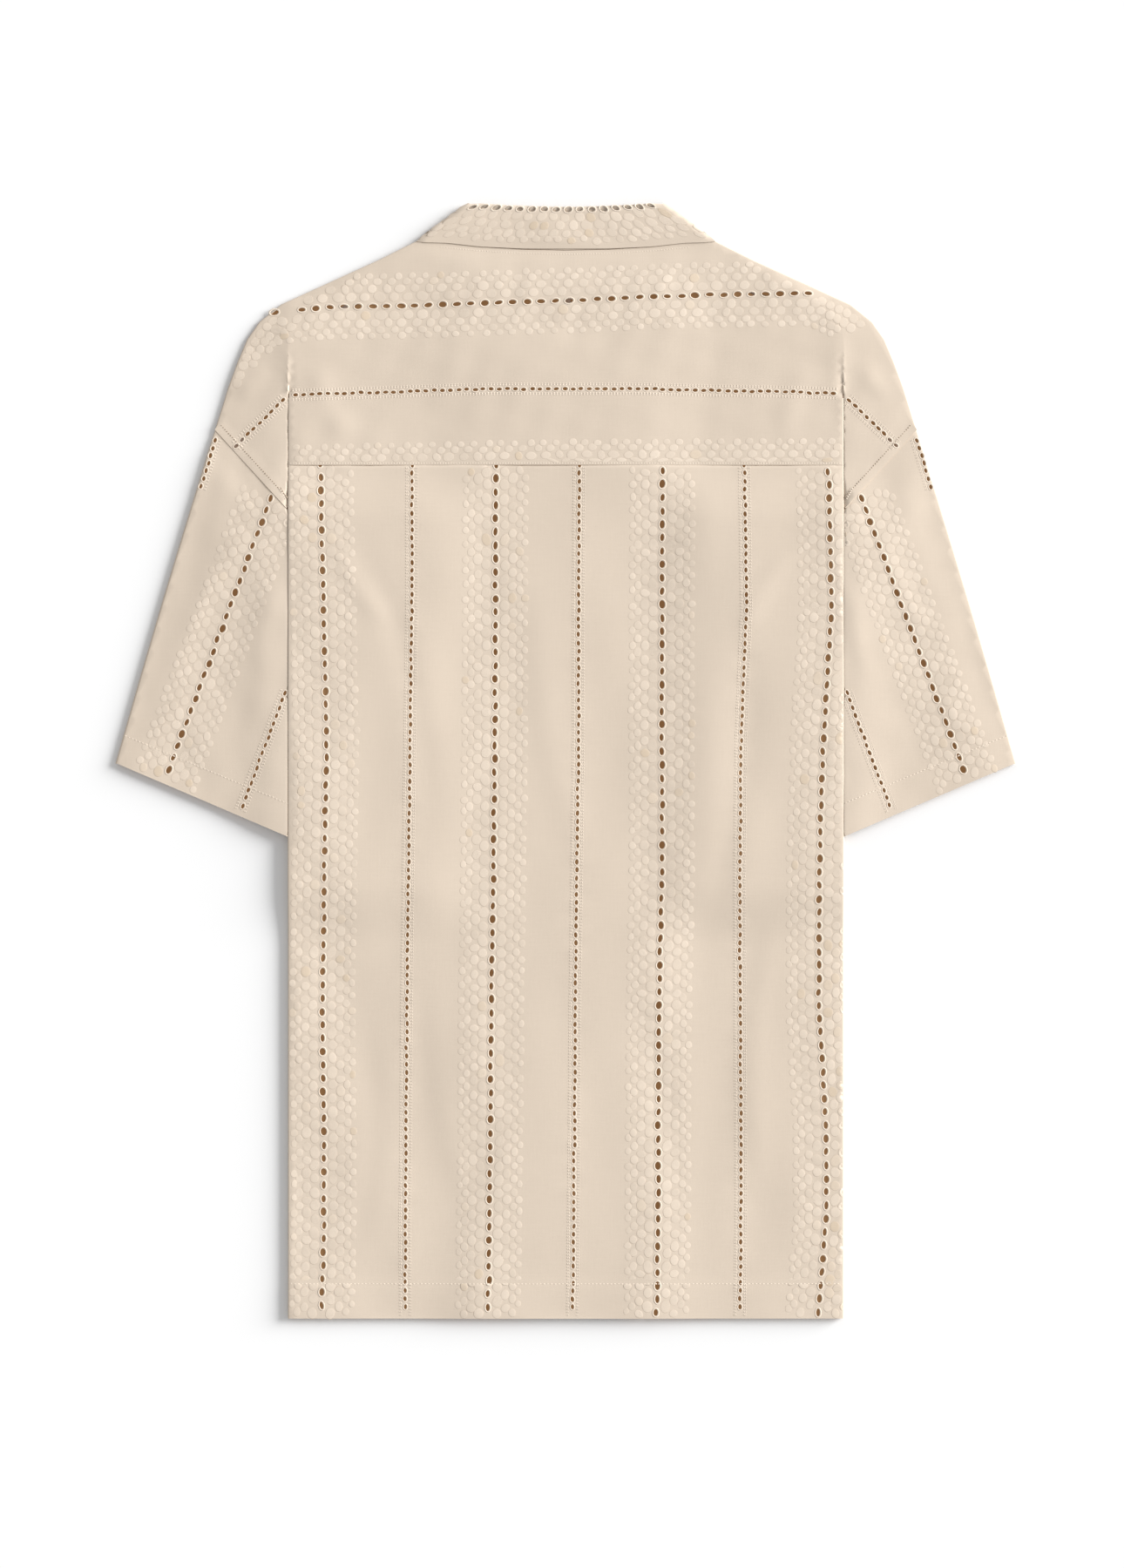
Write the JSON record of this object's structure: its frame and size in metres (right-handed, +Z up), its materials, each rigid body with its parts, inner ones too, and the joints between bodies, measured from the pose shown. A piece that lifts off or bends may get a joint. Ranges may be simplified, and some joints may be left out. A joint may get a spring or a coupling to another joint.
{
  "type": "overshirt",
  "caption": "Short-sleeved cream cotton overshirt with embroidered eyelet bands, laid flat on its front.",
  "frame": {"origin": "middle of the outline, on the surface that the garment lies on", "axes": "+Z up from the surface, +Y from the hem to the collar, +X to the wearer's right arm"},
  "size_m": [0.6304, 0.7791, 0.0088],
  "materials": {
    "cotton": "matte",
    "buttons": "satin"
  },
  "bodies": {
    "root": {"yoke": "cotton", "back": "cotton", "front_left": "cotton", "front_right": "cotton", "sleeve_left_back": "cotton", "sleeve_left_front": "cotton", "sleeve_right_back": "cotton", "sleeve_right_front": "cotton", "collar": "cotton", "button_1": "buttons", "button_2": "buttons", "button_3": "buttons", "button_4": "buttons", "button_5": "buttons", "button_6": "buttons", "button_7": "buttons"}
  },
  "joints": []
}
